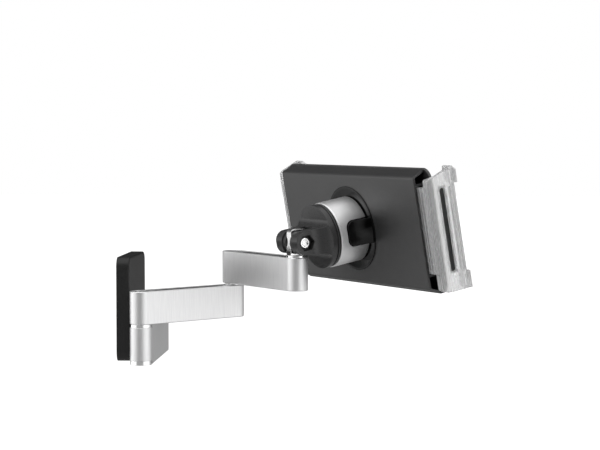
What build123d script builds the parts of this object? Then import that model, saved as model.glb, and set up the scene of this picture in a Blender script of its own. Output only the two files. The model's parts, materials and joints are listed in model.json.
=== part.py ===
from build123d import *
import math
import os

# Wall mount for a tablet: two swinging arms, a tilting and turning head, and two
# sliding jaws. Sizes are in millimetres. The wall is the plane Y = 0, the mount
# stands out towards -Y, +Z is up, and the origin is the middle of the wall plate.

# Play between pieces
slide_gap = 0.3
bore_gap = 0.05

# Wall plate and its cover
cover_width = 64.4
cover_height = 63.8
cover_depth = 8.0
cover_corner = 5.8
cover_wall = 2.0
cover_round = 1.0
plate_thick = 3.0
plate_gap = 0.4
plate_corner = 3.0
wall_hole_side_inset = 6.8
wall_hole_end_inset = 6.5
wall_hole_r = 2.3
lug_reach = 1.2
lug_thick = 1.0
lug_length = 10.0
lug_height = 15.0

# Links: the bar on the wall and the two arms have one plan
link_length = 73.0
link_thick = 13.6
link_height = 20.2
link_chamfer = 0.4
link_stand_off = 0.3
wall_pivot_out = 32.3
bar_drop = 1.5
lower_heading = -44.6
upper_heading = -142.45
strip_width = 7.6
strip_depth = 2.0
strip_drop = 0.2
strip_end = 8.4

# Screws that hold the bar to the plate
link_screw_out = 12.0
link_screw_r = 2.5
link_screw_head_r = 4.6
link_screw_head = 2.2
link_screw_sink = 0.3
link_screw_bite = 9.0
boss_r = 6.0
screw_drive = 3.0
screw_drive_depth = 1.6

# Pivot bolts, their nuts and washers
shank_r = 3.5
ring_r = 6.6
ring_thick = 2.65
wall_washer_thick = 1.95
elbow_washer_r = 5.4
elbow_washer_thick = 1.3
nut_r = 5.0
nut_height = 3.2
nut_drop = 0.3
nut_slot = 1.2
nut_slot_depth = 1.0
bolt_head_height = 3.2
hex_key = 5.0
hex_key_depth = 1.8

# Swivel post at the end of the upper arm
collar_r = 6.5
collar_thick = 1.3
tongue_thick = 5.2
tongue_width = 11.0
tongue_rise = 8.0
tongue_corner = 2.3
tilt_axis_rise = 9.2
head_heading = -55.76
tilt_angle = 10.5

# Clevis cap
disc_thick = 3.0
friction_disc_r = 6.4
tilt_bolt_r = 3.0
ear_thick = 6.95
ear_half_height = 7.1
ear_back = 7.0
ear_corner = 6.0
cap_r = 19.5
cap_floor = 14.1
cap_rim = 4.8
cap_flare_start = 4.0
cap_groove_width = 0.8
cap_groove_depth = 0.8
cap_groove_back = 1.8
web_low = 9.4
web_low_start = 2.0
web_corner = 4.0
slot_end = 10.5
pocket_depth = 5.6
nut_flat = 9.0
tilt_nut_thick = 2.6
tilt_bolt_proud = 0.6
tilt_bolt_dimple_r = 2.0
tilt_bolt_dimple = 0.8
tilt_head_r = 5.0
tilt_head_thick = 4.6
tilt_key = 4.0

# Coupling between the cap and the holder
trim_r = 18.8
trim_thick = 0.8
sleeve_r = 20.0
sleeve_wall = 3.0
sleeve_length = 20.1
sleeve_chamfer = 0.5
spindle_r = 7.0
clip_r = 10.0
clip_neck_r = 5.6
clip_thick = 0.8
core_screw_r = 2.0
core_screw_head_r = 3.5
core_screw_head = 3.5
core_screw_circle = 11.5
core_screw_grip = 2.0

# Release button
button_width = 15.4
button_length = 14.8
button_corner = 5.0
button_back_r = 20.8
button_front_r = 24.5
button_foot = 12.5
button_lip = 1.5
button_lip_thick = 1.4
button_travel = 2.2

# Socket ring on the back of the holder
socket_r = 26.2
socket_body_r = 25.2
socket_rim = 0.4
socket_rim_width = 1.4
socket_dish = 0.6
keeper_r = 28.0
keeper_thick = 1.0

# Holder housing
shell_half_width = 75.5
shell_back_half = 33.5
shell_front_half = 36.6
shell_depth = 8.05
shell_wall = 1.4
shell_round = 2.0
shell_round_least = 0.3
front_end_play = 1.8
front_half_height = 37.2
front_thick = 1.6
front_corner = 7.0
pad_thick = 0.6
pad_width = 12.0
pad_length = 60.0
rail_thick = 1.6
shell_post_r = 4.0
shell_post_out = 23.5
shell_screw_r = 1.5
shell_screw_head_r = 2.8
shell_screw_head = 1.0
shell_screw_length = 7.0

# Jaws
tablet_half_width = 84.75
tablet_thick = 7.5
jaw_plate_thick = 2.0
jaw_plate_top = 27.0
jaw_plate_bottom = -24.0
jaw_inner_end = 40.0
jaw_play = 0.85
jaw_wall = 2.6
jaw_bend_r = 8.0
jaw_lip = 2.5
jaw_lip_thick = 1.2
claw_top_front = 37.0
claw_top_back = 31.5
claw_bottom = -35.0
claw_height = 10.0
claw_setback = 1.4
claw_root_round = 1.2
claw_lip_thick = 3.6
claw_lip = 5.6
claw_round = 2.5
jaw_slot_width = 4.6
jaw_slot_round = 1.5
jaw_slot_end = 1.4
jaw_slot_back = 6.8
jaw_groove_width = 1.2
jaw_groove_depth = 0.9
jaw_groove_gap = 1.9
jaw_rib_width = 1.0
jaw_rib_depth = 0.4
jaw_rib_pitch = 2.2
jaw_rib_count = 3
lining_thick = 0.6
lining_edge = 1.0
panel_inset = 1.6
panel_depth = 0.3
travel_out = 20.0
travel_in = 3.0

# Racks and pinion
tooth_module = 1.5
tooth_count = 12
pressure_angle = 25.0
tooth_rise = 1.2
tooth_fall = 1.5
tooth_play = 0.1
flank_steps = 5
rack_back = 4.0
rack_thick = 3.2
rack_spare = 9.0
rack_overlap = 14.0
pinion_thick = 2.6
pinion_gap = 0.4
axle_r = 2.5
axle_head_r = 4.0
axle_head = 1.0
axle_post_r = 5.0

# Places worked out from the sizes above
plate_width = cover_width - 2 * (cover_wall + plate_gap)
plate_height = cover_height - 2 * (cover_wall + plate_gap)
wall_holes_across = plate_width - 2 * wall_hole_side_inset
wall_holes_up = plate_height - 2 * wall_hole_end_inset
wall_pivot = (-wall_pivot_out, -(cover_depth + link_stand_off + link_thick / 2))


def along(point, heading, distance):
    """Point at a distance in a level direction from another."""
    turn = math.radians(heading)
    return (point[0] + distance * math.cos(turn), point[1] + distance * math.sin(turn))


elbow_pivot = along(wall_pivot, lower_heading, link_length)
head_pivot = along(elbow_pivot, upper_heading, link_length)
bar_foot = -cover_height / 2 - bar_drop
bar_nose_foot = bar_foot + ring_thick
bar_nose_top = bar_nose_foot + link_height
lower_arm_foot = bar_nose_top + wall_washer_thick
bar_top = lower_arm_foot - slide_gap
bar_middle = (bar_foot + bar_top) / 2
screw_reach = cover_depth + link_stand_off + link_screw_bite
upper_arm_foot = lower_arm_foot + link_height + elbow_washer_thick
upper_arm_top = upper_arm_foot + link_height
tilt_axis_z = upper_arm_top + tilt_axis_rise
ear_inner = tongue_thick / 2 + disc_thick + bore_gap
ear_outer = ear_inner + ear_thick
cap_front = cap_floor + cap_rim
sleeve_back = cap_front + trim_thick
sleeve_front = sleeve_back + sleeve_length
core_r = sleeve_r - sleeve_wall - bore_gap
socket_dish_floor = sleeve_front + slide_gap
shell_back = socket_dish_floor - socket_dish + socket_rim
shell_inside = shell_back + shell_wall
keeper_front = shell_inside + keeper_thick
clip_back = keeper_front + bore_gap
spindle_front = clip_back + clip_thick + slide_gap
jaw_back = shell_inside + slide_gap
rack_low = jaw_back + jaw_plate_thick
pinion_low = spindle_front + pinion_gap
front_back = shell_back + shell_depth
front_face = front_back + front_thick
tablet_back = front_face + pad_thick
tablet_front = tablet_back + tablet_thick
jaw_inside = tablet_half_width + jaw_play
jaw_outside = jaw_inside + jaw_wall
front_half_width = jaw_inside - travel_in - front_end_play
pitch_r = tooth_module * tooth_count / 2
rack_root = pitch_r + tooth_fall
rack_outer = rack_root + rack_back
button_back = sleeve_front - slide_gap - button_length
button_front = sleeve_front - slide_gap

# Frames that carry the pieces of each group
lower_frame = Pos(*wall_pivot, lower_arm_foot) * Rot(0, 0, lower_heading)
upper_frame = Pos(*elbow_pivot, upper_arm_foot) * Rot(0, 0, upper_heading)
post_frame = Pos(*head_pivot, 0) * Rot(0, 0, head_heading - 90)
head_frame = Pos(*head_pivot, tilt_axis_z) * Rot(0, 0, head_heading - 90) * Rot(tilt_angle, 0, 0)


def rod(radius, low, high, x=0, y=0):
    """Upright cylinder between two heights."""
    stand = (Align.CENTER, Align.CENTER, Align.MIN)
    return Pos(x, y, low) * Cylinder(radius, high - low, align=stand)


def bar_along_y(radius, low, high, x=0, z=0):
    """Cylinder along Y between two values of y."""
    return Pos(x, 0, z) * Rot(-90, 0, 0) * rod(radius, low, high)


def bar_along_x(radius, low, high):
    """Cylinder along X, through the origin's line."""
    return Rot(0, 90, 0) * rod(radius, low, high)


def block(x, y, z):
    """Box between pairs of limits along X, Y and Z."""
    middle = Pos((x[0] + x[1]) / 2, (y[0] + y[1]) / 2, (z[0] + z[1]) / 2)
    return middle * Box(x[1] - x[0], y[1] - y[0], z[1] - z[0])


def off_wall(sketch, near, far):
    """Sketch in X and Z raised off the wall, from one distance to another."""
    return extrude(Plane.XZ.offset(near) * sketch, far - near)


def copies(places, sketch):
    """One sketch at several places."""
    return Sketch() + [place * sketch for place in places]


def boss_places():
    """Middles of the plate's bosses in X and Z."""
    return [Pos(x, bar_middle) for x in (-link_screw_out, link_screw_out)]


def hex_prism(flats, low, high):
    """Upright hexagonal prism, measured across its flats."""
    return extrude(Pos(0, 0, low) * RegularPolygon(flats / 2, 6, major_radius=False), high - low)


def screw_blank(play, depth):
    """The two countersunk screws of the bar, swelled by a play, from the wall side to a depth."""
    cone = Cone(link_screw_r + play, link_screw_head_r + play, link_screw_head)
    head = Pos(0, 0, -link_screw_head / 2 - link_screw_sink) * cone
    blank = head + rod(link_screw_r + play, -depth, -link_screw_sink)
    if play:
        blank += rod(link_screw_head_r + play, -link_screw_sink, 0)
    blank = Rot(-90, 0, 0) * blank
    return Compound([Pos(x, 0, bar_middle) * blank for x in (-link_screw_out, link_screw_out)])


def wall_plate():
    """Steel plate with bosses that reach the bar through the cover."""
    plate = off_wall(RectangleRounded(plate_width, plate_height, plate_corner), 0, plate_thick)
    boss_height = cover_depth + link_stand_off
    plate += off_wall(copies(boss_places(), Circle(boss_r)), 0, boss_height)
    plate -= screw_blank(bore_gap, boss_height)
    holes = GridLocations(wall_holes_across, wall_holes_up, 2, 2)
    plate -= off_wall(copies(holes, Circle(wall_hole_r)), 0, plate_thick)
    notches = GridLocations(plate_width, 2 * lug_height, 2, 2)
    notch = Rectangle(2 * lug_reach, lug_length + 2 * slide_gap)
    return plate - off_wall(copies(notches, notch), 0, lug_thick + 2 * slide_gap)


def cover():
    """Moulded cover, open to the wall, with lugs that catch the plate."""
    shell = off_wall(RectangleRounded(cover_width, cover_height, cover_corner), 0, cover_depth)
    front = shell.faces().sort_by(Axis.Y)[0]
    shell = fillet(front.edges(), cover_round)
    inside_width = cover_width - 2 * cover_wall
    inside_height = cover_height - 2 * cover_wall
    inside = RectangleRounded(inside_width, inside_height, cover_corner - cover_wall)
    shell -= off_wall(inside, 0, cover_depth - cover_wall)
    shell -= off_wall(copies(boss_places(), Circle(boss_r + slide_gap)), 0, cover_depth)
    lugs = GridLocations(inside_width - lug_reach, 2 * lug_height, 2, 2)
    lug = Rectangle(lug_reach, lug_length)
    return shell + off_wall(copies(lugs, lug), slide_gap, slide_gap + lug_thick)


def link_bar(height):
    """Bar with round ends, standing on its pivot at the origin and lying along X."""
    plan = Pos(link_length / 2, 0) * SlotCenterToCenter(link_length, link_thick)
    bar = extrude(plan, height)
    rims = bar.faces().sort_by(Axis.Z)
    return chamfer(rims[0].edges() + rims[-1].edges(), link_chamfer)


def wall_bar():
    """Fixed link on the wall, with seats for the washer and the bolt's ring."""
    height = bar_top - bar_foot
    seat = ring_r + slide_gap
    bar = link_bar(height)
    bar -= rod(seat, bar_nose_top - bar_foot, height)
    bar -= rod(seat, 0, ring_thick)
    bar -= rod(shank_r + bore_gap, 0, height)
    bar = Pos(*wall_pivot, bar_foot) * bar
    return bar - screw_blank(bore_gap, screw_reach + slide_gap)


def bar_screws():
    """Countersunk screws from the back of the plate into the bar."""
    key = Rot(-90, 0, 0) * hex_prism(screw_drive, -link_screw_sink - screw_drive_depth, 0)
    screws = screw_blank(0, screw_reach)
    for x in (-link_screw_out, link_screw_out):
        screws -= Pos(x, 0, bar_middle) * key
    return screws


def round_nut(low):
    """Slotted round nut on a pivot bolt."""
    nut = rod(nut_r, low, low + nut_height) - rod(shank_r + bore_gap, low, low + nut_height)
    top = low + nut_height
    return nut - block((-nut_r, nut_r), (-nut_slot / 2, nut_slot / 2), (top - nut_slot_depth, top))


def pivot_bolt(head_r, head_low, head_high, tip):
    """Bolt with a round head below and a hexagonal socket in it."""
    bolt = rod(head_r, head_low, head_high) + rod(shank_r, head_high, tip)
    return bolt - hex_prism(hex_key, head_low, head_low + hex_key_depth)


def washer(radius, low, high):
    """Flat washer round a pivot bolt."""
    return rod(radius, low, high) - rod(shank_r + bore_gap, low, high)


nut_seat = link_height - nut_drop - nut_height


def wall_bolt():
    """Bolt of the wall pivot, with its bright ring under the bar's nose."""
    foot = bar_foot - lower_arm_foot
    bolt = pivot_bolt(ring_r, foot, foot + ring_thick, link_height - 2 * nut_drop)
    return Pos(*wall_pivot, lower_arm_foot) * bolt


def wall_nut():
    """Nut of the wall pivot, let into the top of the lower arm."""
    return Pos(*wall_pivot, lower_arm_foot) * round_nut(nut_seat)


def wall_washer():
    """Bright washer between the bar and the lower arm."""
    return Pos(*wall_pivot, 0) * washer(ring_r, bar_nose_top, lower_arm_foot)


def arm():
    """Arm link with its bores, nut seats and the channel for the strip."""
    link = link_bar(link_height)
    bore = shank_r + bore_gap
    link -= rod(bore, 0, link_height) + rod(bore, 0, link_height, link_length)
    link -= rod(nut_r + slide_gap, nut_seat, link_height)
    link -= rod(nut_r + slide_gap, 0, link_height - nut_seat, link_length)
    return link - strip(0, strip_depth)


def strip(play, depth):
    """Strip with round ends in the top of an arm."""
    plan = SlotOverall(link_length - 2 * (strip_end + play), strip_width - 2 * play)
    return extrude(Pos(link_length / 2, 0, link_height - strip_depth) * plan, depth)


def arm_strip():
    """Dark strip, a little lower than the top of its arm."""
    return strip(bore_gap, strip_depth - strip_drop)


def elbow_bolt():
    """Bolt of the elbow, with its head in the lower arm."""
    tip = link_height + elbow_washer_thick + link_height - 2 * nut_drop
    head_high = link_height - nut_seat
    return Pos(link_length, 0) * pivot_bolt(nut_r, head_high - bolt_head_height, head_high, tip)


def elbow_nut():
    """Nut of the elbow, let into the top of the upper arm."""
    return Pos(link_length, 0) * round_nut(link_height + elbow_washer_thick + nut_seat)


def elbow_washer():
    """Washer between the two arms."""
    high = link_height + elbow_washer_thick
    return Pos(link_length, 0) * washer(elbow_washer_r, link_height, high)


def swivel_post():
    """Bright post: a spindle and collar, and an upright tongue with a bore."""
    low = upper_arm_foot + nut_drop
    top = tilt_axis_z + tongue_rise
    collar_top = upper_arm_top + collar_thick
    half = (tongue_thick / 2, tongue_width / 2)
    tongue = block((-half[0], half[0]), (-half[1], half[1]), (collar_top, top))
    corners = tongue.edges().filter_by(Axis.X).group_by(Axis.Z)[-1]
    tongue = fillet(corners, tongue_corner)
    post = rod(shank_r, low + nut_drop, upper_arm_top)
    post += rod(collar_r, upper_arm_top, collar_top)
    bore = bar_along_x(tilt_bolt_r + bore_gap, -half[0], half[0])
    return post + tongue - Pos(0, 0, tilt_axis_z) * bore


def swivel_nut():
    """Nut that holds the post, let into the underside of the upper arm."""
    return Pos(0, 0, upper_arm_foot + link_height) * Rot(180, 0, 0) * round_nut(nut_seat)


def friction_discs():
    """Dark discs on both sides of the tongue."""
    inner = tongue_thick / 2
    disc = bar_along_x(friction_disc_r, inner, inner + disc_thick)
    disc -= bar_along_x(tilt_bolt_r + bore_gap, inner, inner + disc_thick)
    disc = Pos(0, 0, tilt_axis_z) * disc
    return Compound([disc, mirror(disc, Plane.YZ)])


def cap_side():
    """Cap seen from the side: ears, web and the floor of the scoops."""
    outline = [
        (-ear_back, ear_half_height),
        (cap_floor, ear_half_height),
        (cap_floor, cap_r),
        (cap_front, cap_r),
        (cap_front, -cap_r),
        (cap_floor, -cap_r),
        (cap_floor, -web_low),
        (web_low_start, -ear_half_height),
        (-ear_back, -ear_half_height),
    ]
    face = make_face(Polyline(*outline, close=True))
    corners = face.vertices()
    ends = corners.group_by(Axis.X)[0]
    face = fillet(ends, ear_corner)
    roots = [v for v in face.vertices() if abs(v.X - cap_floor) < 0.01 and abs(v.Y) < cap_r - 1]
    return fillet(roots, web_corner)


def cap_plan():
    """Cap seen from above: straight ears that flare out to the rim."""
    start = (ear_outer, cap_flare_start)
    flare = TangentArc(start, (cap_r, cap_floor), tangent=(0, 1))
    side = Polyline((0, -ear_back), (ear_outer, -ear_back), start)
    rim = Polyline((cap_r, cap_floor), (cap_r, cap_front), (0, cap_front), (0, -ear_back))
    half = make_face(side + flare + rim)
    return half + mirror(half, Plane.YZ)


def clevis_cap():
    """Black cap with two ears, scooped above and below its web."""
    side = Plane.YZ * cap_side()
    cap = extrude(side, cap_r, both=True)
    cap &= extrude(cap_plan(), cap_r, both=True)
    cap &= bar_along_y(cap_r, -ear_back, cap_front)
    cap -= block((-ear_inner, ear_inner), (-ear_back, slot_end), (-cap_r, cap_r))
    cap -= bar_along_x(tilt_bolt_r + bore_gap, -ear_outer, ear_outer)
    cap -= ear_hex(nut_flat + 2 * bore_gap, ear_outer - pocket_depth, cap_r)
    groove = bar_along_y(cap_r, cap_front - cap_groove_back, cap_front - cap_groove_back + cap_groove_width)
    cap -= groove - bar_along_y(cap_r - cap_groove_depth, cap_floor, cap_front)
    cap -= bar_along_x(tilt_head_r + slide_gap, -ear_outer, pocket_depth - ear_outer)
    for u, v in core_screw_places():
        cap -= bar_along_y(core_screw_r + bore_gap, cap_front - core_screw_grip, cap_front, u, v)
    return cap


def ear_hex(flats, low, high):
    """Hexagonal prism across the ears, with a corner towards the cap's rim."""
    return Rot(0, 90, 0) * Rot(0, 0, 30) * hex_prism(flats, low, high)


def tilt_bolt():
    """Tilt bolt with a socket head in the far ear and its end in the nut."""
    seat = pocket_depth - ear_outer
    tip = ear_outer - pocket_depth + tilt_nut_thick + tilt_bolt_proud
    bolt = bar_along_x(tilt_bolt_r, seat, tip) + bar_along_x(tilt_head_r, seat - tilt_head_thick, seat)
    bolt -= bar_along_x(tilt_bolt_dimple_r, tip - tilt_bolt_dimple, tip)
    return bolt - ear_hex(tilt_key, seat - tilt_head_thick, seat - tilt_head_thick / 2)


def tilt_nut():
    """Hexagonal nut in the near ear's pocket."""
    seat = ear_outer - pocket_depth
    nut = ear_hex(nut_flat, seat, seat + tilt_nut_thick)
    return nut - bar_along_x(tilt_bolt_r + bore_gap, seat, seat + tilt_nut_thick)


def trim_ring():
    """Thin dark ring between the cap and the sleeve."""
    ring = bar_along_y(trim_r, cap_front, sleeve_back)
    ring -= bar_along_y(spindle_r, cap_front, sleeve_back)
    for u, v in core_screw_places():
        ring -= bar_along_y(core_screw_r + bore_gap, cap_front, sleeve_back, u, v)
    return ring


def button_outline(play):
    """Button seen from its side of the sleeve: square in front, round behind."""
    half = button_width / 2 + play
    low = button_back - play
    outline = [(low, half), (sleeve_front + slide_gap, half)]
    outline += [(sleeve_front + slide_gap, -half), (low, -half)]
    face = make_face(Polyline(*outline, close=True))
    return fillet(face.vertices().group_by(Axis.X)[0], button_corner)


def sleeve():
    """Silver sleeve with the window for the button."""
    tube = bar_along_y(sleeve_r, sleeve_back, sleeve_front)
    tube = chamfer(tube.edges(), sleeve_chamfer)
    tube -= bar_along_y(sleeve_r - sleeve_wall, sleeve_back, sleeve_front)
    return tube - extrude(Plane.YZ * button_outline(slide_gap), sleeve_r)


def core_screw_places():
    """Middles of the three screws that join the core to the cap."""
    turns = [math.radians(angle) for angle in (120, 180, 240)]
    return [(core_screw_circle * math.cos(t), core_screw_circle * math.sin(t)) for t in turns]


def core():
    """Core of the coupling, with the button's pocket and the spindle."""
    body = bar_along_y(core_r, sleeve_back, sleeve_front)
    body += bar_along_y(spindle_r, sleeve_front, spindle_front)
    groove = bar_along_y(spindle_r, clip_back, clip_back + clip_thick)
    body -= groove - bar_along_y(clip_neck_r, clip_back, clip_back + clip_thick)
    half = button_width / 2 + button_lip + slide_gap
    floor = button_foot - button_travel - slide_gap
    body -= block((floor, sleeve_r), (button_back - slide_gap, sleeve_front), (-half, half))
    for u, v in core_screw_places():
        head = sleeve_front - core_screw_head - slide_gap
        body -= bar_along_y(core_screw_r + bore_gap, sleeve_back, head, u, v)
        body -= bar_along_y(core_screw_head_r + bore_gap, head, sleeve_front, u, v)
    return body


def core_screws():
    """Screws from the front of the core into the cap."""
    head = sleeve_front - core_screw_head - slide_gap
    screws = []
    for u, v in core_screw_places():
        screw = bar_along_y(core_screw_r, cap_front - core_screw_grip, head, u, v)
        screws.append(screw + bar_along_y(core_screw_head_r, head, head + core_screw_head, u, v))
    return Compound(screws)


def spindle_clip():
    """Clip in the spindle's groove, which keeps the holder on."""
    low = clip_back
    clip = bar_along_y(clip_r, low, low + clip_thick)
    clip -= bar_along_y(clip_neck_r + bore_gap, low, low + clip_thick)
    return clip - block((0, clip_r), (low, low + clip_thick), (-clip_neck_r / 2, clip_neck_r / 2))


def release_button():
    """Button that stands out of the sleeve and flares towards the holder."""
    back = (button_back_r, button_back)
    front = (button_front_r, button_front)
    top = Spline(back, front, tangents=((0.1, 1), (0.5, 1)))
    sides = Polyline(front, (0, button_front), (0, button_back), back)
    bell = revolve(make_face(top + sides), Axis.Y)
    outline = extrude(Plane.YZ.offset(button_foot) * button_outline(0), button_front_r)
    key = bell & outline
    half = button_width / 2 + button_lip
    lip_top = button_foot + button_lip_thick
    lip = block((button_foot, lip_top), (button_back + button_corner, button_front), (-half, half))
    return key + lip


def socket_ring():
    """Black ring round the sleeve, dished, with the spindle's bore."""
    rim_top = shell_back - socket_rim
    outline = [
        (spindle_r + bore_gap, socket_dish_floor),
        (sleeve_r + slide_gap, socket_dish_floor),
        (socket_r - socket_rim_width, rim_top),
        (socket_r, rim_top),
        (socket_r, shell_back),
        (socket_body_r, shell_back),
        (socket_body_r, shell_inside),
        (spindle_r + bore_gap, shell_inside),
    ]
    return revolve(make_face(Polyline(*outline, close=True)), Axis.Y)


def keeper_plate():
    """Plate that clamps the socket ring to the back shell from inside."""
    plate = bar_along_y(keeper_r, shell_inside, keeper_front)
    return plate - bar_along_y(spindle_r + slide_gap, shell_inside, keeper_front)


def shell_section(inset):
    """Section of the back shell across its length."""
    slope = (shell_front_half - shell_back_half) / shell_depth
    back = shell_back + inset
    outline = [
        (back, shell_back_half - inset * (1 - slope)),
        (front_back, shell_front_half - inset),
        (front_back, inset - shell_front_half),
        (back, inset * (1 - slope) - shell_back_half),
    ]
    face = make_face(Polyline(*outline, close=True))
    return fillet(face.vertices().group_by(Axis.X)[0], max(shell_round - inset, shell_round_least))


def post_places():
    """Middles of the posts that join the two halves of the housing."""
    sides = (-shell_post_out, shell_post_out)
    return [(u, v) for u in sides for v in sides]


def back_shell():
    """Back of the housing, open at both ends, with rails and screw posts."""
    shell = extrude(Plane.YZ * shell_section(0), shell_half_width, both=True)
    shell -= extrude(Plane.YZ * shell_section(shell_wall), shell_half_width, both=True)
    length = (-shell_half_width, shell_half_width)
    deep = (shell_inside, front_back)
    top = jaw_plate_top + slide_gap
    bottom = jaw_plate_bottom - slide_gap
    shell += block(length, deep, (top, top + rail_thick))
    shell += block(length, deep, (bottom - rail_thick, bottom))
    shell -= bar_along_y(keeper_r + slide_gap, shell_inside, keeper_front + slide_gap)
    for u, v in post_places():
        shell += bar_along_y(shell_post_r, shell_inside, front_back, u, v)
        shell -= bar_along_y(shell_screw_r + bore_gap, front_face - shell_screw_length, front_back, u, v)
    return shell - bar_along_y(socket_body_r + bore_gap, shell_back, shell_inside)


def front_plate():
    """Front of the housing, longer than the back, with guides for the racks."""
    plan = RectangleRounded(2 * front_half_width, 2 * front_half_height, front_corner)
    plate = extrude(Plane.XZ.offset(-front_face) * plan, front_thick)
    guide_out = shell_post_out + shell_post_r
    inner = rack_outer + slide_gap
    for low in (inner, -inner - rail_thick):
        plate += block((-guide_out, guide_out), (rack_low + slide_gap, front_back), (low, low + rail_thick))
    post_low = pinion_low + pinion_thick + slide_gap
    plate += bar_along_y(axle_post_r, post_low, front_back)
    plate -= bar_along_y(axle_r + bore_gap, post_low, front_face)
    plate -= bar_along_y(axle_head_r + bore_gap, front_face - axle_head, front_face)
    for u, v in post_places():
        plate -= bar_along_y(shell_screw_r + bore_gap, front_back, front_face, u, v)
        plate -= bar_along_y(shell_screw_head_r + bore_gap, front_face - shell_screw_head, front_face, u, v)
    return plate


def shell_screws():
    """Screws that close the housing."""
    head = front_face - shell_screw_head
    screws = []
    for u, v in post_places():
        screw = bar_along_y(shell_screw_r, front_face - shell_screw_length, head, u, v)
        screws.append(screw + bar_along_y(shell_screw_head_r, head, front_face, u, v))
    return Compound(screws)


def front_pads():
    """Two soft strips between the front plate and the tablet."""
    plan = RectangleRounded(pad_length, pad_width, pad_width / 4)
    places = GridLocations(0, 2 * (front_half_height - pad_width), 1, 2)
    return Compound([extrude(Plane.XZ.offset(-tablet_back) * place * plan, pad_thick) for place in places])


def jaw_profile():
    """Section of a jaw: plate, bend, side wall and front lip."""
    lip_back = tablet_front + slide_gap
    lip_front = lip_back + jaw_lip_thick
    outline = [
        (jaw_inner_end, jaw_back),
        (jaw_outside, jaw_back),
        (jaw_outside, lip_front),
        (jaw_inside - jaw_lip, lip_front),
        (jaw_inside - jaw_lip, lip_back),
        (jaw_inside, lip_back),
        (jaw_inside, jaw_back + jaw_plate_thick),
        (jaw_inner_end, jaw_back + jaw_plate_thick),
    ]
    face = make_face(Polyline(*outline, close=True))
    bends = [v for v in face.vertices() if v.X > jaw_inside - 0.01 and v.Y < jaw_back + jaw_wall]
    outer = [v for v in bends if v.X > jaw_inside + 0.01]
    face = fillet(outer, jaw_bend_r)
    inner = [v for v in face.vertices() if abs(v.X - jaw_inside) < 0.01 and v.Y < jaw_back + jaw_wall]
    return fillet(inner, jaw_bend_r - jaw_plate_thick)


def claw_outline():
    """Jaw seen from its side, with the claws at its top and bottom."""
    front = tablet_front + slide_gap + claw_lip_thick
    start = jaw_back + claw_setback
    outline = [
        (jaw_back, jaw_plate_bottom),
        (jaw_back, jaw_plate_top),
        (start, jaw_plate_top),
        (start, claw_top_back),
        (front - claw_round, claw_top_front),
        (front, claw_top_front - claw_round),
        (front, claw_bottom),
        (start, claw_bottom),
        (start, jaw_plate_bottom),
    ]
    face = make_face(Polyline(*outline, close=True))
    steps = [v for v in face.vertices() if abs(v.X - start) < 0.01]
    roots = [v for v in steps if v.Y in (jaw_plate_top, jaw_plate_bottom)]
    face = fillet(roots, claw_root_round)
    tips = [v for v in face.vertices() if abs(v.X - start) < 0.01 and v.Y in (claw_top_back, claw_bottom)]
    return fillet(tips, claw_round)


def jaw():
    """Jaw on the near side: the plate slides in the housing, claws hold the edge."""
    section = jaw_profile()
    front = tablet_front + slide_gap + claw_lip_thick
    bend = jaw_outside - jaw_bend_r
    tall = extrude(Pos(0, 0, claw_bottom) * section, claw_top_front - claw_bottom)
    wall = tall & block((bend, jaw_outside), (jaw_back, front), (claw_bottom, claw_top_front))
    for low in (claw_bottom, claw_top_front - claw_height):
        inward = (jaw_inside - claw_lip, jaw_outside)
        wall += block(inward, (tablet_front + slide_gap, front), (low, low + claw_height))
    wall &= extrude(Plane.YZ * claw_outline(), 2 * jaw_outside)
    middle = (jaw_plate_bottom, jaw_plate_top)
    plate = extrude(Pos(0, 0, middle[0]) * section, middle[1] - middle[0])
    plate &= block((jaw_inner_end, bend), (jaw_back, front), middle)
    body = wall + plate
    return body - jaw_slot() - jaw_groove() - jaw_ribs() - claw_panels()


def slot_ends(play):
    """Ends of the slot between the claws, drawn in by a play."""
    inset = claw_height + jaw_slot_end + play
    return (claw_bottom + inset, claw_top_front - inset)


def jaw_slot():
    """Long slot through the side wall, with round corners."""
    low, high = slot_ends(0)
    slot = RectangleRounded(high - low, jaw_slot_width, jaw_slot_round)
    cut = extrude(slot, jaw_wall + 2 * slide_gap)
    across = jaw_back + jaw_slot_back + jaw_slot_width / 2
    return Pos(jaw_inside - slide_gap, across, (low + high) / 2) * Rot(0, 90, 0) * cut


def jaw_groove():
    """Groove along the outside of the side wall, between the claws."""
    low = jaw_back + jaw_slot_back + jaw_slot_width + jaw_groove_gap
    depth = (jaw_outside - jaw_groove_depth, jaw_outside)
    return block(depth, (low, low + jaw_groove_width), slot_ends(0))


def jaw_ribs():
    """Shallow flutes along the outside of the plate, up to the bend."""
    ends = (jaw_plate_bottom + claw_round, jaw_plate_top - claw_round)
    flutes = Part()
    for number in range(jaw_rib_count):
        far = jaw_outside - jaw_bend_r - number * jaw_rib_pitch
        flutes += block((far - jaw_rib_width, far), (jaw_back, jaw_back + jaw_rib_depth), ends)
    return flutes


def claw_panels():
    """Shallow frosted panels on the outside of the claws."""
    across = (jaw_back + jaw_bend_r, tablet_front + slide_gap)
    depth = (jaw_outside - panel_depth, jaw_outside)
    panels = Part()
    for low in (claw_bottom, claw_top_front - claw_height):
        panels += block(depth, across, (low + panel_inset, low + claw_height - panel_inset))
    return panels


def jaw_lining():
    """Soft strip inside the side wall, behind the slot."""
    low = jaw_back + jaw_slot_back + lining_edge
    across = (low, low + jaw_slot_width)
    return block((jaw_inside - lining_thick, jaw_inside - bore_gap), across, slot_ends(-lining_edge))


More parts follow.
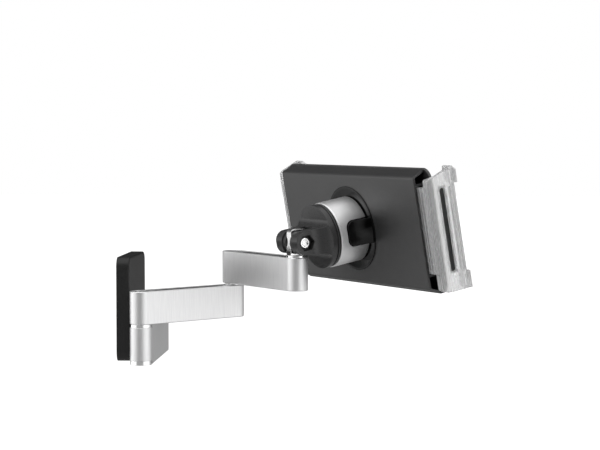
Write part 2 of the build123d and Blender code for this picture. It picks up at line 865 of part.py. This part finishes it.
def rack():
    """Rack of the near jaw, below the pinion, with its teeth facing up."""
    reach = -(travel_out + rack_spare)
    fixed = jaw_inner_end + rack_overlap
    pitch = math.pi * tooth_module
    lean = math.tan(math.radians(pressure_angle))
    half = pitch / 4 - tooth_play / 2
    teeth = int((jaw_inner_end - travel_in - reach) / pitch)
    first = round((reach + half + tooth_fall * lean) / pitch + 0.5) - 0.5
    outline = [(reach, -rack_outer), (reach, -rack_root)]
    for number in range(teeth - 1):
        middle = (first + number) * pitch
        root = half + tooth_fall * lean
        tip = half - tooth_rise * lean
        outline += [(middle - root, -rack_root), (middle - tip, tooth_rise - pitch_r)]
        outline += [(middle + tip, tooth_rise - pitch_r), (middle + root, -rack_root)]
    outline += [(fixed, -rack_root), (fixed, -rack_outer)]
    flat = make_face(Polyline(*outline, close=True))
    return Pos(0, rack_low + rack_thick, 0) * Rot(90, 0, 0) * extrude(flat, rack_thick)


def involute(radius, turn):
    """Point on an involute of the pinion's base circle, turned from its start."""
    base = pitch_r * math.cos(math.radians(pressure_angle))
    roll = math.sqrt(max((radius / base) ** 2 - 1, 0))
    angle = turn + roll - math.atan(roll)
    return (radius * math.cos(angle), radius * math.sin(angle))


def pinion():
    """Toothed wheel that moves both racks."""
    base = pitch_r * math.cos(math.radians(pressure_angle))
    root = pitch_r - tooth_fall
    tip = pitch_r + tooth_rise
    roll = math.tan(math.radians(pressure_angle))
    thickness = math.pi * tooth_module / 2 - tooth_play
    half = thickness / (2 * pitch_r) + roll - math.radians(pressure_angle)
    rises = [base + (tip - base) * step / flank_steps for step in range(flank_steps + 1)]
    low = [involute(radius, -half) for radius in rises]
    high = [(x, -y) for x, y in reversed(low)]
    start = (root * math.cos(half), -root * math.sin(half))
    end = (root * math.cos(half), root * math.sin(half))
    tooth = make_face(Polyline((0, 0), start, *low, *high, end, close=True))
    wheel = Circle(root)
    for number in range(tooth_count):
        wheel += Rot(0, 0, 90 + number * 360 / tooth_count) * tooth
    wheel = Rot(90, 0, 0) * extrude(wheel - Circle(axle_r + bore_gap), pinion_thick)
    return Pos(0, pinion_low + pinion_thick, 0) * wheel


def pinion_axle():
    """Shoulder screw that carries the pinion on the front plate."""
    head = front_face - axle_head
    axle = bar_along_y(axle_r, pinion_low, head)
    return axle + bar_along_y(axle_head_r, head, front_face)


def other_side(shape):
    """The same piece on the far side, turned half a turn about the ring's axis."""
    return Rot(0, 180, 0) * shape


far_jaw = mirror(jaw(), Plane.YZ)

nodes = {
    "wall_plate": wall_plate(),
    "wall_cover": cover(),
    "wall_bar": wall_bar(),
    "wall_bar_screws": bar_screws(),
    "wall_pivot_bolt": wall_bolt(),
    "wall_pivot_nut": wall_nut(),
    "wall_pivot_washer": wall_washer(),
    "lower_arm": lower_frame * arm(),
    "lower_arm_strip": lower_frame * arm_strip(),
    "elbow_bolt": lower_frame * elbow_bolt(),
    "elbow_nut": lower_frame * elbow_nut(),
    "elbow_washer": lower_frame * elbow_washer(),
    "upper_arm": upper_frame * arm(),
    "upper_arm_strip": upper_frame * arm_strip(),
    "swivel_post": post_frame * swivel_post(),
    "swivel_nut": post_frame * swivel_nut(),
    "friction_discs": post_frame * friction_discs(),
    "clevis_cap": head_frame * clevis_cap(),
    "tilt_bolt": head_frame * tilt_bolt(),
    "tilt_nut": head_frame * tilt_nut(),
    "trim_ring": head_frame * trim_ring(),
    "coupling_sleeve": head_frame * sleeve(),
    "coupling_core": head_frame * core(),
    "coupling_screws": head_frame * core_screws(),
    "spindle_clip": head_frame * spindle_clip(),
    "release_button": head_frame * release_button(),
    "socket_ring": head_frame * socket_ring(),
    "socket_keeper": head_frame * keeper_plate(),
    "holder_back_shell": head_frame * back_shell(),
    "holder_front_plate": head_frame * front_plate(),
    "holder_screws": head_frame * shell_screws(),
    "holder_pads": head_frame * front_pads(),
    "near_jaw": head_frame * jaw(),
    "near_lining": head_frame * jaw_lining(),
    "near_rack": head_frame * rack(),
    "far_jaw": head_frame * far_jaw,
    "far_lining": head_frame * mirror(jaw_lining(), Plane.YZ),
    "far_rack": head_frame * other_side(rack()),
    "pinion": head_frame * pinion(),
    "pinion_axle": head_frame * pinion_axle(),
}

os.makedirs("parts", exist_ok=True)
for name, shape in nodes.items():
    export_step(shape, f"parts/{name}.step")
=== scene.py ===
import json
import math

import bpy
from mathutils import Matrix, Vector


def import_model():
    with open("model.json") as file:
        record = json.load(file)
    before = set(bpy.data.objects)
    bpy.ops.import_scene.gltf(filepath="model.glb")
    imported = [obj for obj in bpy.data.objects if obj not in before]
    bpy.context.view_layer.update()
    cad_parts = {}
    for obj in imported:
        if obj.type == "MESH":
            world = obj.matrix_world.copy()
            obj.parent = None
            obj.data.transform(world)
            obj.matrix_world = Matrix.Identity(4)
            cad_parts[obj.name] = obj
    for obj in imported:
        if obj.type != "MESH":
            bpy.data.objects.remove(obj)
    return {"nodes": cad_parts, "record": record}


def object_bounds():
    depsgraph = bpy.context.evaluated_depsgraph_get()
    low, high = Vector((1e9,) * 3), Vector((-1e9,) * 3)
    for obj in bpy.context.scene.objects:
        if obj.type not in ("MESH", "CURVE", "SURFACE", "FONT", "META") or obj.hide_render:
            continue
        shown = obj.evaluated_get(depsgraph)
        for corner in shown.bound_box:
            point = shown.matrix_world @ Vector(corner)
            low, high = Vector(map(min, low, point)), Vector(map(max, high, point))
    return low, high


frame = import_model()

cad_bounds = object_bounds()
nodes = frame["nodes"]

# Lengths are in metres, angles in degrees and powers in watts. A compass turn is
# measured from +X towards +Y, and a rise above the horizon.

# The head's own axes: across the holder, out to its front, and up its face
head_origin = Vector((-0.0381981, -0.1108473, 0.0423))
head_out = Vector((0.5532388, -0.812845, 0.1822355)).normalized()
head_across = Vector((-0.826688, -0.5626607, 0.0)).normalized()
head_up = head_across.cross(head_out)
head_turn = Matrix((head_across, head_out, head_up))

# Camera
lens_mm = 111.68
sensor_mm = 36
camera_place = (-1.15431, -0.18914, 0.11122)
camera_turn = 3.91
camera_rise = -3.0

# Light tent: its level, and its dim zones. Each zone has the turn and rise of its middle,
# the angles from there where its fade starts and ends, and the share of light in it.
tent_level = 1.15
dim_zones = [
    (177, 0, 30, 44, 0.0),
    (22, 16, 34, 54, 0.1),
    (-8, -10, 44, 72, 0.0),
]

# Lamps: place, target, width and height, power
lamp_target = (0.0, -0.1, 0.03)
lamp_setup = {
    "right_softbox": ((-0.32, -0.75, 0.25), lamp_target, (0.5, 0.7), 0.6),
    "left_softbox": ((0.02, 0.5, 0.1), (-0.04, -0.1, 0.02), (0.4, 0.4), 0.3),
    "top_softbox": ((-0.35, 0.2, 0.7), lamp_target, (0.7, 0.7), 1.0),
}

# Floor: its half width, its depth below the mount, and its glow where it is background
floor_reach = 6.0
floor_drop = 0.12
floor_glow = 0.8
floor_dark = (0.4, 0.4, 0.4)
floor_light = (0.42, 0.42, 0.42)

# Share of the tent's level that glossy surfaces see on the floor, near and far from its middle
sweep_near = 0.2
sweep_far = 0.8
sweep_near_share = 0.1
sweep_far_share = 0.7

# Softened highlight on the edges of the pieces
bevel_samples = 6
fine_edge = 0.0003
soft_edge = 0.0004
round_edge = 0.0005
wide_edge = 0.0006

# Part of a noise's range that carries its change
noise_low = 0.3
noise_high = 0.7

# Sockets of the mix node, whose names are shared
mix_first_number = 2
mix_second_number = 3
mix_first_colour = 6
mix_second_colour = 7
mix_colour_result = 2


def add(tree, kind, **settings):
    made = tree.nodes.new(kind)
    for name, value in settings.items():
        setattr(made, name, value)
    return made


def math_node(tree, operation, first, second=None):
    made = add(tree, "ShaderNodeMath", operation=operation)
    tree.links.new(first, made.inputs[0])
    if second is not None:
        tree.links.new(second, made.inputs[1])
    return made.outputs[0]


def ramp(tree, value, start, end, low, high):
    """Low up to the start, high from the end on, and an even change between."""
    made = add(tree, "ShaderNodeMapRange")
    tree.links.new(value, made.inputs["Value"])
    made.inputs["From Min"].default_value = start
    made.inputs["From Max"].default_value = end
    made.inputs["To Min"].default_value = low
    made.inputs["To Max"].default_value = high
    return made.outputs[0]


def background_rays(tree):
    """1 for the rays that show the white background: the camera's, and those through the jaws."""
    path = add(tree, "ShaderNodeLightPath")
    return math_node(tree, "MAXIMUM", path.outputs["Is Camera Ray"], path.outputs["Is Transmission Ray"])


def toward(turn, rise):
    """Unit vector at a compass turn and a rise."""
    turn, rise = math.radians(turn), math.radians(rise)
    return Vector((math.cos(turn) * math.cos(rise), math.sin(turn) * math.cos(rise), math.sin(rise)))


def tent_light(tree, way):
    """The tent's brightness along a unit vector: full, and dimmer towards each dim zone."""
    light = None
    for turn, rise, start, end, share in dim_zones:
        facing = add(tree, "ShaderNodeVectorMath", operation="DOT_PRODUCT")
        tree.links.new(way, facing.inputs[0])
        facing.inputs[1].default_value = toward(turn, rise)
        angle = math_node(tree, "ARCCOSINE", facing.outputs["Value"])
        fade = ramp(tree, angle, math.radians(start), math.radians(end), share * tent_level, tent_level)
        light = fade if light is None else math_node(tree, "MINIMUM", light, fade)
    return light


class Finish:
    """A node material with one Principled shader, and the few nodes its detail needs."""

    def __init__(self, name, edge=0.0, **sockets):
        self.material = bpy.data.materials.new(name)
        self.material.use_nodes = True
        self.tree = self.material.node_tree
        self.shader = self.tree.nodes["Principled BSDF"]
        for socket, value in sockets.items():
            self.shader.inputs[socket.replace("_", " ")].default_value = value
        self.normal = None
        if edge:
            worn = add(self.tree, "ShaderNodeBevel", samples=bevel_samples)
            worn.inputs["Radius"].default_value = edge
            self.normal = worn.outputs[0]
            self.link(self.normal, self.shader.inputs["Normal"])

    def link(self, output, socket):
        self.tree.links.new(output, socket)

    def place(self, scale=(1, 1, 1), head=False):
        """The point on the surface, stretched by scale, in the head's own axes if head is true."""
        spot = add(self.tree, "ShaderNodeTexCoord").outputs["Object"]
        if head:
            shift = add(self.tree, "ShaderNodeVectorMath", operation="SUBTRACT")
            self.link(spot, shift.inputs[0])
            shift.inputs[1].default_value = head_origin
            turn = add(self.tree, "ShaderNodeMapping")
            turn.inputs["Rotation"].default_value = head_turn.to_euler()
            self.link(shift.outputs[0], turn.inputs["Vector"])
            spot = turn.outputs[0]
        sized = add(self.tree, "ShaderNodeMapping")
        sized.inputs["Scale"].default_value = scale
        self.link(spot, sized.inputs["Vector"])
        return sized.outputs[0]

    def noise(self, vector, scale, detail=3.0, roughness=0.55):
        made = add(self.tree, "ShaderNodeTexNoise")
        made.inputs["Scale"].default_value = scale
        made.inputs["Detail"].default_value = detail
        made.inputs["Roughness"].default_value = roughness
        self.link(vector, made.inputs["Vector"])
        return made.outputs["Fac"]

    def colour(self, value, first, second):
        """Base colour between two colours, as the noise goes."""
        made = add(self.tree, "ShaderNodeMix", data_type="RGBA")
        self.link(ramp(self.tree, value, noise_low, noise_high, 0, 1), made.inputs["Factor"])
        made.inputs[mix_first_colour].default_value = (*first, 1.0)
        made.inputs[mix_second_colour].default_value = (*second, 1.0)
        self.link(made.outputs[mix_colour_result], self.shader.inputs["Base Color"])

    def rough(self, value, low, high):
        """Roughness between two limits, as the noise goes."""
        self.link(ramp(self.tree, value, noise_low, noise_high, low, high), self.shader.inputs["Roughness"])

    def bump(self, value, depth, strength):
        """Relief over what the normal already holds."""
        made = add(self.tree, "ShaderNodeBump")
        made.inputs["Distance"].default_value = depth
        made.inputs["Strength"].default_value = strength
        self.link(value, made.inputs["Height"])
        if self.normal:
            self.link(self.normal, made.inputs["Normal"])
        self.normal = made.outputs[0]
        self.link(self.normal, self.shader.inputs["Normal"])


def satin_aluminium():
    """Anodised extrusion: very fine blasting over faint upright lines."""
    f = Finish("satin_aluminium", edge=soft_edge, Metallic=1.0)
    lines = f.noise(f.place(scale=(1, 1, 0.03)), scale=2600, detail=2.0)
    grain = f.noise(f.place(), scale=5200, detail=2.0)
    f.colour(lines, (0.78, 0.78, 0.785), (0.86, 0.86, 0.86))
    f.rough(grain, low=0.42, high=0.52)
    f.bump(lines, depth=0.00001, strength=0.25)
    f.bump(grain, depth=0.00001, strength=0.35)
    return f


def blasted_aluminium():
    """Evenly blasted metal of the sleeve."""
    f = Finish("blasted_aluminium", edge=soft_edge, Metallic=1.0)
    grain = f.noise(f.place(), scale=4200)
    blotch = f.noise(f.place(), scale=160)
    f.colour(blotch, (0.76, 0.76, 0.765), (0.82, 0.82, 0.82))
    f.rough(grain, low=0.38, high=0.5)
    f.bump(grain, depth=0.00002, strength=0.5)
    return f


def chrome():
    """Polished metal with a faint smear."""
    f = Finish("chrome", edge=soft_edge, Metallic=1.0, Base_Color=(0.88, 0.88, 0.88, 1.0))
    smear = f.noise(f.place(), scale=240)
    f.rough(smear, low=0.1, high=0.18)
    f.bump(smear, depth=0.00001, strength=0.1)
    return f


def zinc_steel():
    """Plated steel, uneven in tone."""
    f = Finish("zinc_steel", Metallic=1.0)
    grain = f.noise(f.place(), scale=900, detail=4.0)
    f.colour(grain, (0.44, 0.44, 0.45), (0.56, 0.56, 0.56))
    f.rough(grain, low=0.28, high=0.45)
    f.bump(grain, depth=0.00001, strength=0.4)
    return f


def grained_black():
    """Black plastic with a moulded grain."""
    f = Finish("grained_black", edge=soft_edge, Specular_IOR_Level=0.3)
    grain = f.noise(f.place(), scale=1500, detail=4.0, roughness=0.6)
    f.colour(grain, (0.012, 0.012, 0.012), (0.022, 0.022, 0.022))
    f.rough(grain, low=0.36, high=0.55)
    f.bump(grain, depth=0.00006, strength=0.6)
    return f


def satin_black():
    """Satin black plastic, clouded a little."""
    f = Finish("satin_black", edge=round_edge)
    grain = f.noise(f.place(), scale=2200)
    cloud = f.noise(f.place(), scale=90)
    f.colour(cloud, (0.03, 0.03, 0.0305), (0.04, 0.04, 0.0405))
    f.rough(grain, low=0.25, high=0.36)
    f.bump(grain, depth=0.00002, strength=0.35)
    return f


def gloss_black():
    """Glossy black plastic with a soft unevenness."""
    f = Finish("gloss_black", edge=round_edge,
               Base_Color=(0.003, 0.003, 0.003, 1.0), Specular_IOR_Level=0.2)
    cloud = f.noise(f.place(), scale=130)
    f.rough(cloud, low=0.1, high=0.18)
    f.bump(cloud, depth=0.00002, strength=0.1)
    return f


def housing_black():
    """Fine moulded texture, a little polished in soft clouds."""
    f = Finish("housing_black", edge=wide_edge, Specular_IOR_Level=0.75)
    grain = f.noise(f.place(), scale=2600)
    cloud = f.noise(f.place(), scale=45)
    f.colour(cloud, (0.018, 0.018, 0.0185), (0.023, 0.023, 0.0235))
    f.rough(grain, low=0.36, high=0.48)
    f.bump(grain, depth=0.00002, strength=0.3)
    return f


def dark_strip():
    """Dark grey plastic with a fine grain on its top."""
    f = Finish("dark_strip")
    grain = f.noise(f.place(scale=(1, 1, 0.05)), scale=1800)
    f.colour(grain, (0.05, 0.05, 0.052), (0.085, 0.085, 0.088))
    f.rough(grain, low=0.34, high=0.48)
    f.bump(grain, depth=0.00001, strength=0.3)
    return f


def dark_nylon():
    """Dull moulded plastic of the inner pieces."""
    f = Finish("dark_nylon")
    grain = f.noise(f.place(), scale=1400)
    f.colour(grain, (0.024, 0.024, 0.024), (0.04, 0.04, 0.04))
    f.rough(grain, low=0.42, high=0.58)
    f.bump(grain, depth=0.00002, strength=0.3)
    return f


def pad_rubber():
    """Soft, dull rubber."""
    f = Finish("pad_rubber")
    grain = f.noise(f.place(), scale=900, detail=4.0)
    f.colour(grain, (0.022, 0.022, 0.022), (0.042, 0.042, 0.042))
    f.rough(grain, low=0.66, high=0.85)
    f.bump(grain, depth=0.00005, strength=0.5)
    return f


def frosted_clear():
    """Translucent grey plastic with the drawn streaks of its mould running along the jaw."""
    f = Finish("frosted_clear", edge=soft_edge, IOR=1.46, Transmission_Weight=0.65)
    streaks = f.noise(f.place(scale=(1, 1, 0.012), head=True), scale=620, detail=2.0)
    grain = f.noise(f.place(), scale=2400)
    f.colour(streaks, (0.78, 0.78, 0.785), (0.88, 0.88, 0.88))
    f.rough(streaks, low=0.2, high=0.34)
    f.bump(streaks, depth=0.00004, strength=0.12)
    f.bump(grain, depth=0.00001, strength=0.2)
    return f


def black_steel():
    """Blackened steel."""
    f = Finish("black_steel", edge=fine_edge, Metallic=0.6)
    grain = f.noise(f.place(), scale=900, detail=4.0)
    f.colour(grain, (0.015, 0.015, 0.015), (0.03, 0.03, 0.03))
    f.rough(grain, low=0.28, high=0.45)
    f.bump(grain, depth=0.00001, strength=0.4)
    return f


finishes = {
    "steel": zinc_steel,
    "black_steel": black_steel,
    "cover_plastic": grained_black,
    "silver": satin_aluminium,
    "silver_sleeve": blasted_aluminium,
    "bright": chrome,
    "strip": dark_strip,
    "dark_nylon": dark_nylon,
    "black_plastic": satin_black,
    "gloss_black": gloss_black,
    "housing_plastic": housing_black,
    "pad_rubber": pad_rubber,
    "clear_grey": frosted_clear,
}


def dress_nodes():
    """Give each piece the finish of its slot."""
    made = {slot: build().material for slot, build in finishes.items()}
    for part in frame["record"]["subparts"]:
        node = nodes[part["node"]]
        node.data.materials.clear()
        node.data.materials.append(made[part["material_slot"]])


def floor():
    """Pale floor: it takes the shadow, is white as background, and is tent to glossy surfaces."""
    mesh = bpy.data.meshes.new("floor")
    height = cad_bounds[0][2] - floor_drop
    corners = [(-floor_reach, -floor_reach, height), (floor_reach, -floor_reach, height),
               (floor_reach, floor_reach, height), (-floor_reach, floor_reach, height)]
    mesh.from_pydata(corners, [], [(0, 1, 2, 3)])
    ground = bpy.data.objects.new("floor", mesh)
    bpy.context.scene.collection.objects.link(ground)
    f = Finish("floor_white", Roughness=0.9, Emission_Color=(1, 1, 1, 1))
    f.colour(f.noise(f.place(), scale=3), floor_dark, floor_light)
    spot = add(f.tree, "ShaderNodeTexCoord").outputs["Object"]
    way = add(f.tree, "ShaderNodeVectorMath", operation="NORMALIZE")
    f.link(spot, way.inputs[0])
    distance = add(f.tree, "ShaderNodeVectorMath", operation="LENGTH")
    f.link(spot, distance.inputs[0])
    share = ramp(f.tree, distance.outputs["Value"],
                 sweep_near, sweep_far, sweep_near_share, sweep_far_share)
    sweep = math_node(f.tree, "MULTIPLY", share, tent_light(f.tree, way.outputs[0]))
    glossy = add(f.tree, "ShaderNodeLightPath").outputs["Is Glossy Ray"]
    mirrored = math_node(f.tree, "MULTIPLY", glossy, sweep)
    white = ramp(f.tree, background_rays(f.tree), 0, 1, 0.0, floor_glow)
    f.link(math_node(f.tree, "MAXIMUM", mirrored, white), f.shader.inputs["Emission Strength"])
    mesh.materials.append(f.material)


def world():
    """White where it is background, and the light tent to every other ray."""
    scene = bpy.context.scene
    scene.world = bpy.data.worlds.new("studio")
    scene.world.use_nodes = True
    tree = scene.world.node_tree
    back = tree.nodes["Background"]
    way = add(tree, "ShaderNodeTexCoord").outputs["Generated"]
    choose = add(tree, "ShaderNodeMix", data_type="FLOAT")
    tree.links.new(background_rays(tree), choose.inputs["Factor"])
    tree.links.new(tent_light(tree, way), choose.inputs[mix_first_number])
    choose.inputs[mix_second_number].default_value = 1.0
    back.inputs["Color"].default_value = (1, 1, 1, 1)
    tree.links.new(choose.outputs[0], back.inputs["Strength"])


def lamp(name, place, target, size, power):
    data = bpy.data.lights.new(name, "AREA")
    data.shape = "RECTANGLE"
    data.size, data.size_y = size
    data.energy = power
    made = bpy.data.objects.new(name, data)
    bpy.context.scene.collection.objects.link(made)
    made.location = place
    made.rotation_euler = (Vector(target) - Vector(place)).to_track_quat("-Z", "Y").to_euler()
    made.visible_camera = False


def camera():
    data = bpy.data.cameras.new("camera")
    data.lens = lens_mm
    data.sensor_width = sensor_mm
    made = bpy.data.objects.new("camera", data)
    bpy.context.scene.collection.objects.link(made)
    made.location = camera_place
    made.rotation_euler = toward(camera_turn, camera_rise).to_track_quat("-Z", "Y").to_euler()
    bpy.context.scene.camera = made


dress_nodes()
floor()
world()
for name, setup in lamp_setup.items():
    lamp(name, *setup)
camera()
bpy.context.scene.view_settings.view_transform = "Standard"
